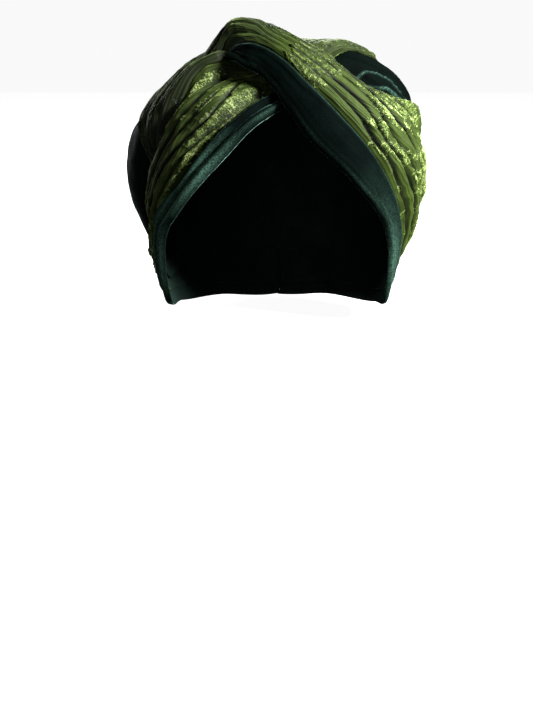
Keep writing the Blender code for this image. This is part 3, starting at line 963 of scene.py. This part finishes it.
def make_border(name, band, kind, below):
    """A velvet border, turned in at both edges."""
    seed = kind.seed
    end = band.key_at(kind.last)
    rows = np.linspace(0, kind.last, BAND_STEPS)
    along = np.interp(rows, np.arange(len(band.keys)), band.keys)
    low, seam, _, low_lift, seam_lift, _, _, fold = band.at(along)
    s = np.linspace(0, 1, BORDER_STEPS)
    even = (1 - EDGE_CLOSENESS) * s + EDGE_CLOSENESS * (1 - np.cos(math.pi * s)) / 2
    t = np.broadcast_to(even, (BAND_STEPS, BORDER_STEPS))
    q = between(low, seam, t)
    rise = low_lift + (seam_lift - low_lift) * np.sin(t * math.pi / 2)
    x = np.broadcast_to(along[:, None] * band.length, t.shape)
    y = t * kind.cloth[1]

    def wander(k):
        line = on_plane(x[:, :1], k * LINE_APART, RIDGE_WAVE, LINE_SIZE)
        shift = RIDGE_SHIFT * noise(line, seed + 50)
        return shift, RIDGE_LEAST + RIDGE_SWELL * noise(line, seed + 60)

    ridges = ridge_relief(kind.folds, along, t, wander)
    width = length_of(low, seam)
    nearest = np.minimum(t, 1 - t) * width
    bead = BEAD * np.clip(1 - ((nearest - BEAD_AT) / BEAD_AT) ** 2, 0, 1)
    ripple = BORDER_RIPPLE * layered(on_plane(x, y, *RIPPLE_SIZE), seed, 2)
    relief = BORDER_RIDGE * ridges + bead + ripple
    # Painted sheen: along the border from its table, weaker in the grooves, and a line beside each
    # edge
    on_ridges = SHEEN_IN_GROOVES + (1 - SHEEN_IN_GROOVES) * np.clip(ridges, 0, 1)
    painted_sheen = np.interp(along, *np.array(kind.nap_and_sheen).T)[:, None] * on_ridges
    uneven = RIM_LEAST + RIM_UNEVENNESS * noise(on_plane(x, y, RIM_PATCH, RIM_PATCH), seed + 7)
    rim = np.exp(-(((nearest - RIM_AT) / RIM_WIDTH) ** 2)) * uneven
    nap_and_sheen = np.clip(painted_sheen + RIM_SHARE * rim, 0, 1)
    inner = np.maximum(HEAD_EASE + BAND_FULLNESS * rise, floor_under(q, below))
    far_end = (end - along[:, None]) * band.length
    far_seam = along[:, None] * band.length
    thin = rounded(nearest / TURN_ROLL) * rounded(far_end / TURN_ROLL)
    thin = thin * (SEAM_SHARE + (1 - SEAM_SHARE) * rounded(far_seam / SEAM_ROLL))
    outer = inner + THINNEST + np.maximum(BORDER_WALL - THINNEST + relief, 0) * thin
    uv = np.stack([x, y], -1)
    return wall(name, lifted(q, outer), lifted(q, inner), uv=uv, values={"nap_and_sheen": nap_and_sheen})


class Nodes:
    """Makes and links a material's nodes in few words."""

    def __init__(self, name):
        self.material = bpy.data.materials.new(name)
        self.material.use_nodes = True
        self.tree = self.material.node_tree
        self.shader = self.tree.nodes["Principled BSDF"]

    def node(self, kind, values=None, **settings):
        node = self.tree.nodes.new("ShaderNode" + kind)
        for key, value in settings.items():
            setattr(node, key, value)
        for key, value in (values or {}).items():
            if isinstance(value, bpy.types.NodeSocket):
                self.tree.links.new(value, node.inputs[key])
            else:
                node.inputs[key].default_value = value
        return node

    def set(self, **values):
        for key, value in values.items():
            socket = self.shader.inputs[key.replace("_", " ")]
            if isinstance(value, bpy.types.NodeSocket):
                self.tree.links.new(value, socket)
            else:
                socket.default_value = value

    def uv(self):
        return self.node("UVMap", uv_map="cloth").outputs["UV"]

    def place(self):
        return self.node("TexCoord").outputs["Object"]

    def scaled(self, vector, x, y, z=1.0):
        return self.node("Mapping", {"Vector": vector, "Scale": (x, y, z)}).outputs["Vector"]

    def noise(self, vector, scale, detail=2.0, roughness=0.6):
        values = {"Vector": vector, "Scale": scale, "Detail": detail, "Roughness": roughness}
        return self.node("TexNoise", values).outputs["Fac"]

    def value_of(self, key):
        return self.node("Attribute", attribute_name=key).outputs["Fac"]

    def ramp(self, factor, stops):
        node = self.node("ValToRGB", {"Fac": factor})
        while len(node.color_ramp.elements) < len(stops):
            node.color_ramp.elements.new(0.5)
        for element, (position, colour) in zip(node.color_ramp.elements, stops):
            element.position = position
            element.color = (*colour, 1.0)
        return node.outputs["Color"]

    def math(self, operation, a, b=0.5, c=0.5):
        node = self.node("Math", operation=operation)
        for socket, value in zip(node.inputs, (a, b, c)):
            if isinstance(value, bpy.types.NodeSocket):
                self.tree.links.new(value, socket)
            else:
                socket.default_value = value
        return node.outputs[0]

    def range(self, value, low, high, to_low=0.0, to_high=1.0):
        values = {0: value, 1: low, 2: high, 3: to_low, 4: to_high}
        return self.node("MapRange", values).outputs[0]

    def mix(self, factor, a, b):
        node = self.node("Mix", data_type="RGBA")
        for index, value in ((0, factor), (6, a), (7, b)):
            if isinstance(value, bpy.types.NodeSocket):
                self.tree.links.new(value, node.inputs[index])
            else:
                node.inputs[index].default_value = value if index == 0 else (*value, 1.0)
        return node.outputs[2]

    def bump(self, height, strength, distance, normal=None):
        values = {"Height": height, "Strength": strength, "Distance": distance}
        if normal is not None:
            values["Normal"] = normal
        return self.node("Bump", values).outputs["Normal"]


def velvet(name, deep, light, painted_sheen, tint):
    """Plain short-piled velvet, nearly black seen straight on and bright along its folds, with
    painted sheen where its mesh asks for it.
    """
    made = Nodes(name)
    place = made.place()
    nap_and_sheen = made.noise(place, NAP_SCALE, 3.0)
    grain = made.noise(place, GRAIN_SCALE, 1.0)
    share = made.math("MULTIPLY_ADD", grain, 0.5, made.math("MULTIPLY", nap_and_sheen, 0.6))
    colour = made.mix(made.range(share, *VELVET_SPREAD), deep, light)
    # Painted sheen: the brighter colour where the mesh asks for it, broken up by fine specks
    speck = made.range(made.noise(place, SPECK_SCALE, 2.0), *SPECK_SPREAD, LEAST_SPECK, 1.0)
    colour = made.mix(made.math("MULTIPLY", made.value_of("nap_and_sheen"), speck), colour, painted_sheen)
    made.set(Base_Color=colour, Roughness=0.8, Specular_IOR_Level=0.03)
    made.set(Sheen_Weight=1.0, Sheen_Roughness=0.16, Sheen_Tint=(*tint, 1.0))
    fine = made.bump(grain, 0.55, 0.0004)
    made.set(Normal=made.bump(nap_and_sheen, 0.25, 0.0010, fine))
    return made.material


def two_tone():
    """Crushed lime velvet in patches on a flat ribbed ground, with painted glints, painted
    highlights on the pleats' crests and painted shade in the grooves.
    """
    made = Nodes("two_tone_velvet")
    uv = made.uv()
    crushed = made.noise(made.scaled(uv, *CRUSHED_SCALE), 1.0, 3.0, 0.7)
    streaks = made.noise(made.scaled(uv, *STREAK_SCALE), 1.0, 2.0)
    clumps = made.noise(made.scaled(uv, *CLUMP_SCALE), 1.0, 3.0)
    lie = made.math("MULTIPLY_ADD", crushed, 1.1, made.math("MULTIPLY", clumps, 0.5))
    lie = made.math("MULTIPLY_ADD", made.value_of("crush"), 0.08, lie)
    # Painted highlight: the pile is lighter on the pleats' crests
    lie = made.math("MULTIPLY_ADD", made.value_of("crest_highlight"), 0.20, lie)
    # The pile's colours run from a dark, mottled tone to painted glints at the top
    pile = made.ramp(made.range(lie, *LIE_SPREAD), PILE_COLOURS)
    ribs = made.node(
        "TexWave",
        {"Vector": made.scaled(uv, 0.0, 1.0), "Scale": RIB_SCALE, "Distortion": 0.0},
        bands_direction="Y",
    ).outputs["Fac"]
    cloud = made.noise(made.scaled(uv, *CLOUD_SCALE), 1.0, 2.0)
    tone = made.math("MULTIPLY_ADD", ribs, 0.25, made.math("MULTIPLY", cloud, 0.8))
    ground = made.ramp(tone, GROUND_COLOURS)
    edge = made.math("MULTIPLY_ADD", streaks, 0.7, made.value_of("pile"))
    mask = made.range(edge, *MASK_SPREAD)
    colour = made.mix(mask, ground, pile)
    # Painted shade: darker near the grooves and along parts of each band
    shade = made.range(made.value_of("groove"), *GROOVE_SHADE_SPREAD)
    made.set(Base_Color=made.mix(shade, colour, PAINTED_GROOVE_SHADE))
    roughness = made.range(mask, 0.0, 1.0, GROUND_ROUGHNESS, PILE_ROUGHNESS)
    made.set(Roughness=roughness, Specular_IOR_Level=0.25)
    made.set(Sheen_Weight=0.30, Sheen_Roughness=0.35, Sheen_Tint=(*LIME_SHEEN, 1.0))
    relief = made.math("MULTIPLY", crushed, mask)
    weave = made.math("MULTIPLY", ribs, made.range(mask, 0.0, 1.0, WEAVE_DEPTH, 0.0))
    made.set(Normal=made.bump(made.math("ADD", relief, weave), 0.9, 0.0008))
    return made.material


def lining():
    """The plain knitted lining inside."""
    made = Nodes("lining_knit")
    place = made.place()
    loops = made.noise(made.scaled(place, *LOOP_SCALE), 1.0, 1.0)
    shade = made.noise(place, LINING_SCALE, 2.0)
    colour = made.mix(made.range(shade, *LINING_SPREAD), LINING_DEEP, LINING_LIGHT)
    made.set(Base_Color=colour, Roughness=0.85, Specular_IOR_Level=0.2)
    made.set(Normal=made.bump(loops, 0.6, 0.0004))
    return made.material


def wear(obj, outside, inside, node):
    """Gives a cloth its two materials, fixes it to the root, and hides the solid it stands for."""
    obj.data.materials.append(outside)
    obj.data.materials.append(inside)
    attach(obj, "root")
    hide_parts(node)


def make_wrap():
    """The five cloths, from the innermost to the outermost."""
    left = Band(LEFT_BAND)
    right = Band(RIGHT_BAND)
    cap, tree = make_cap()
    below = [tree]
    left_pleats, tree = make_pleats("left_pleated_cloth", left, LEFT_PLEATS, below)
    below.append(tree)
    left_border, tree = make_border("left_border_cloth", left, LEFT_BORDER, below)
    below.append(tree)
    right_pleats, tree = make_pleats("right_pleated_cloth", right, RIGHT_PLEATS, below)
    below.append(tree)
    right_border, _ = make_border("right_border_cloth", right, RIGHT_BORDER, below)

    plain = velvet("cap_velvet", CAP_DEEP, CAP_LIGHT, PAINTED_SHEEN, CAP_SHEEN)
    edging = velvet("border_velvet", BORDER_DEEP, BORDER_LIGHT, PAINTED_SHEEN, BORDER_SHEEN)
    lime = two_tone()
    inside = lining()
    wear(cap, plain, inside, "crown_cap")
    wear(left_pleats, lime, inside, "left_band_pleats")
    wear(right_pleats, lime, inside, "right_band_pleats")
    wear(left_border, edging, inside, "left_band_border")
    wear(right_border, edging, inside, "right_band_border")


def make_stage():
    """A plain pale floor, under a pale sky."""
    mesh = bpy.data.meshes.new("floor")
    half = FLOOR_SIZE / 2
    corners = [(x * half, y * half, FLOOR_Z) for x, y in ((-1, -1), (1, -1), (1, 1), (-1, 1))]
    mesh.from_pydata(corners, [], [(0, 1, 2, 3)])
    floor = bpy.data.objects.new("floor", mesh)
    bpy.context.scene.collection.objects.link(floor)
    made = Nodes("floor_paper")
    made.set(Base_Color=(PAPER, PAPER, PAPER, 1.0), Roughness=0.9, Specular_IOR_Level=0.1)
    made.set(Emission_Color=(1.0, 1.0, 1.0, 1.0), Emission_Strength=PAPER_GLOW)
    mesh.materials.append(made.material)
    floor.visible_diffuse = False
    floor.visible_glossy = False
    world = bpy.data.worlds.new("studio")
    world.use_nodes = True
    background = world.node_tree.nodes["Background"]
    background.inputs["Color"].default_value = (1.0, 1.0, 1.0, 1.0)
    background.inputs["Strength"].default_value = SKY
    world.cycles_visibility.diffuse = False
    world.cycles_visibility.glossy = False
    bpy.context.scene.world = world


def make_lamp(lamp):
    light = bpy.data.lights.new(lamp.name, "AREA")
    light.size = lamp.size
    light.energy = lamp.power
    obj = bpy.data.objects.new(lamp.name, light)
    way = Vector(directions(lamp.azimuth, lamp.elevation))
    obj.location = Vector(HEAD_CENTRE) + way * lamp.distance
    obj.rotation_euler = way.to_track_quat("Z", "Y").to_euler()
    bpy.context.scene.collection.objects.link(obj)


def make_camera():
    """The photograph's viewpoint: straight ahead, a little above, the wrap high in the frame."""
    centre = Vector(HEAD_CENTRE)
    tilt = math.radians(CAMERA_ELEVATION)
    location = centre + Vector((0, -math.cos(tilt), math.sin(tilt))) * CAMERA_DISTANCE
    target = centre + Vector((-CENTRE_PX[0] * PIXEL, 0, CENTRE_PX[1] * PIXEL))
    way = (target - location).normalized()
    camera = bpy.data.objects.new("camera", bpy.data.cameras.new("camera"))
    camera.location = location
    camera.rotation_euler = way.to_track_quat("-Z", "Y").to_euler()
    depth = (centre - location).dot(way)
    camera.data.lens = camera.data.sensor_width * depth / (FRAME_HEIGHT * PIXEL)
    bpy.context.scene.collection.objects.link(camera)
    bpy.context.scene.camera = camera


make_camera()
make_wrap()
make_stage()
for each in LAMPS:
    make_lamp(each)
bpy.context.scene.view_settings.view_transform = "Standard"
